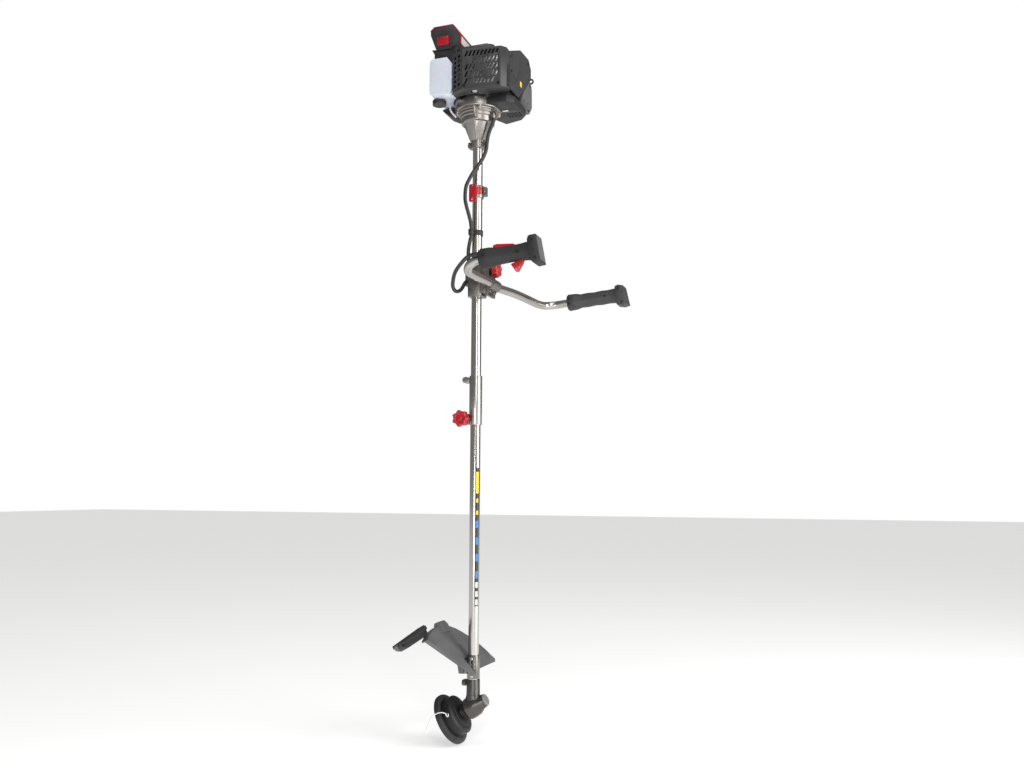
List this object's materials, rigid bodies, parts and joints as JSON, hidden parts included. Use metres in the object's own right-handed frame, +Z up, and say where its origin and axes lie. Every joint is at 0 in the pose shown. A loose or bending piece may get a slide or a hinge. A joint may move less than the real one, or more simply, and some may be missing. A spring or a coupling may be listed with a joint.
{
  "type": "string trimmer",
  "caption": "Petrol string trimmer with a split steel shaft, bike handlebar, battery-start engine, bevel gearbox, fan-shaped guard and bump-feed line head.",
  "frame": {"origin": "on the shaft axis at the middle of the harness clamp", "axes": "+Z up the shaft towards the engine, +X the side that faces up in use (handlebar grips), -Y the operator's right (throttle grip)"},
  "size_m": [0.4494, 0.599, 1.8436],
  "materials": {
    "tube_steel": "polished tube with fine drawing lines",
    "plain_steel": "machined steel",
    "bright_steel": "bright pressed steel",
    "cast_alloy": "die cast, slightly rough",
    "dark_alloy": "dark die cast",
    "black_plastic": "matt moulded",
    "dark_plastic": "matt moulded",
    "grey_plastic": "matt moulded",
    "red_plastic": "glossy moulded",
    "tank_plastic": "milky, translucent",
    "grip_rubber": "textured",
    "loom_wrap": "spiral wrapped",
    "filter_foam": "open cell foam",
    "line_nylon": "plain nylon line"
  },
  "bodies": {
    "engine_and_shaft": {"upper_tube": "tube_steel", "shaft_bush": "black_plastic", "coupling_sleeve": "cast_alloy", "clutch_housing": "cast_alloy", "fan_housing": "black_plastic", "crankcase": "cast_alloy", "cylinder": "cast_alloy", "spark_plug": "black_plastic", "muffler": "bright_steel", "muffler_cover": "dark_plastic", "cylinder_cover": "dark_plastic", "carburettor": "cast_alloy", "air_filter": "filter_foam", "fuel_tank": "tank_plastic", "fuel_line": "tank_plastic", "tank_stand": "black_plastic", "starter_housing": "dark_plastic", "starter_motor": "plain_steel", "battery_holder": "black_plastic", "harness_clamp": "cast_alloy", "harness_tab": "red_plastic", "cable_clip": "dark_plastic", "engine_loom": "loom_wrap", "handlebar_clamp": "cast_alloy", "handlebar_cap": "cast_alloy"},
    "crank": {"crankshaft": "plain_steel", "flywheel": "cast_alloy", "clutch_shoes": "cast_alloy"},
    "drive_line": {"upper_drive_shaft": "plain_steel", "clutch_drum": "plain_steel"},
    "piston": {"piston": "plain_steel"},
    "battery": {"battery_pack": "dark_plastic"},
    "battery_button": {"battery_button": "red_plastic"},
    "fuel_cap": {"fuel_cap": "black_plastic"},
    "choke_lever": {"choke_lever": "black_plastic"},
    "filter_cover": {"air_filter_cover": "grey_plastic"},
    "filter_knob": {"air_filter_knob": "red_plastic"},
    "clamp_knob": {"clamp_knob": "red_plastic"},
    "coupling_knob": {"coupling_knob": "red_plastic"},
    "handlebar": {"handlebar": "tube_steel", "left_grip": "grip_rubber", "right_grip": "grip_rubber", "grip_loom": "loom_wrap"},
    "trigger": {"throttle_trigger": "red_plastic"},
    "lockout": {"lockout_lever": "red_plastic"},
    "stop_switch": {"stop_switch": "red_plastic"},
    "lower_shaft": {"lower_tube": "tube_steel", "guard_bracket": "plain_steel", "guard": "dark_plastic", "guard_extension": "black_plastic", "line_cutter": "plain_steel", "gearbox_housing": "dark_alloy", "gearbox_cap": "grey_plastic"},
    "lower_drive": {"lower_drive_shaft": "plain_steel"},
    "line_head": {"output_shaft": "plain_steel", "head_housing": "dark_plastic", "head_base": "black_plastic", "cutting_line": "line_nylon"},
    "spool": {"spool": "black_plastic"},
    "bump_button": {"bump_button": "black_plastic"}
  },
  "joints": [
    {"name": "crank_spin", "type": "hinge", "parent": "engine_and_shaft", "child": "crank", "pos_m": [0, 0, 0.3], "axis": [0, 0, 1], "continuous": true},
    {"name": "drive_spin", "type": "hinge", "parent": "engine_and_shaft", "child": "drive_line", "pos_m": [0, 0, 0.2], "axis": [0, 0, 1], "continuous": true},
    {"name": "piston_stroke", "type": "slide", "parent": "engine_and_shaft", "child": "piston", "axis": [1, 0, 0], "range_m": [-0.028, 0]},
    {"name": "battery_slide", "type": "slide", "parent": "engine_and_shaft", "child": "battery", "axis": [0, -1, 0], "range_m": [0, 0.11]},
    {"name": "battery_button_press", "type": "slide", "parent": "battery", "child": "battery_button", "axis": [0, 1, 0], "range_m": [0, 0.002], "stiffness_N_per_m": 600, "springref_m": -0.004},
    {"name": "fuel_cap_turn", "type": "hinge", "parent": "engine_and_shaft", "child": "fuel_cap", "pos_m": [-0.088, -0.054, 0.234], "axis": [0, 0, 1], "continuous": true},
    {"name": "choke_turn", "type": "hinge", "parent": "engine_and_shaft", "child": "choke_lever", "pos_m": [0.088, 0.127, 0.338], "axis": [0, -1, 0], "range_deg": [0, 55]},
    {"name": "filter_cover_pull", "type": "slide", "parent": "engine_and_shaft", "child": "filter_cover", "axis": [0, 1, 0], "range_m": [0, 0.035]},
    {"name": "filter_knob_turn", "type": "hinge", "parent": "filter_cover", "child": "filter_knob", "pos_m": [0.09, 0.131, 0.303], "axis": [0, 1, 0], "continuous": true},
    {"name": "clamp_knob_turn", "type": "hinge", "parent": "engine_and_shaft", "child": "clamp_knob", "pos_m": [0.055, 0, -0.209], "axis": [1, 0, 0], "continuous": true},
    {"name": "coupling_knob_turn", "type": "hinge", "parent": "engine_and_shaft", "child": "coupling_knob", "pos_m": [-0.029, -0.03, -0.594], "axis": [0, 1, 0], "continuous": true},
    {"name": "handlebar_tilt", "type": "hinge", "parent": "engine_and_shaft", "child": "handlebar", "pos_m": [0.045, 0, -0.249], "axis": [0, 1, 0], "range_deg": [-12, 12], "deforming": ["grip_loom"]},
    {"name": "throttle_press", "type": "hinge", "parent": "handlebar", "child": "trigger", "pos_m": [0.18934, -0.18, -0.23868], "axis": [0, 1, 0], "range_deg": [0, 15], "stiffness_Nm_per_rad": 0.5, "springref_deg": -20.05},
    {"name": "lockout_press", "type": "hinge", "parent": "handlebar", "child": "lockout", "pos_m": [0.16805, -0.18, -0.2019], "axis": [0, -1, 0], "range_deg": [0, 5], "stiffness_Nm_per_rad": 0.5, "springref_deg": -20.05},
    {"name": "stop_press", "type": "slide", "parent": "handlebar", "child": "stop_switch", "axis": [0.0872, 0, -0.9962], "range_m": [0, 0.0009], "stiffness_N_per_m": 600, "springref_m": -0.003},
    {"name": "lower_shaft_slide", "type": "slide", "parent": "engine_and_shaft", "child": "lower_shaft", "axis": [0, 0, -1], "range_m": [0, 0.07]},
    {"name": "lower_drive_spin", "type": "hinge", "parent": "lower_shaft", "child": "lower_drive", "pos_m": [0, 0, -1], "axis": [0, 0, 1], "continuous": true},
    {"name": "head_spin", "type": "hinge", "parent": "lower_shaft", "child": "line_head", "pos_m": [0, 0, -1.303], "axis": [0.866, 0, 0.5], "continuous": true},
    {"name": "spool_turn", "type": "hinge", "parent": "line_head", "child": "spool", "pos_m": [0, 0, -1.303], "axis": [0.866, 0, 0.5], "continuous": true},
    {"name": "bump_press", "type": "slide", "parent": "line_head", "child": "bump_button", "axis": [0.866, 0, 0.5], "range_m": [0, 0.0035], "stiffness_N_per_m": 900, "springref_m": -0.004}
  ],
  "couplings": [
    {"joint": "lower_drive_spin", "follows": "drive_spin", "ratio": 1},
    {"joint": "head_spin", "follows": "drive_spin", "ratio": 0.75}
  ]
}
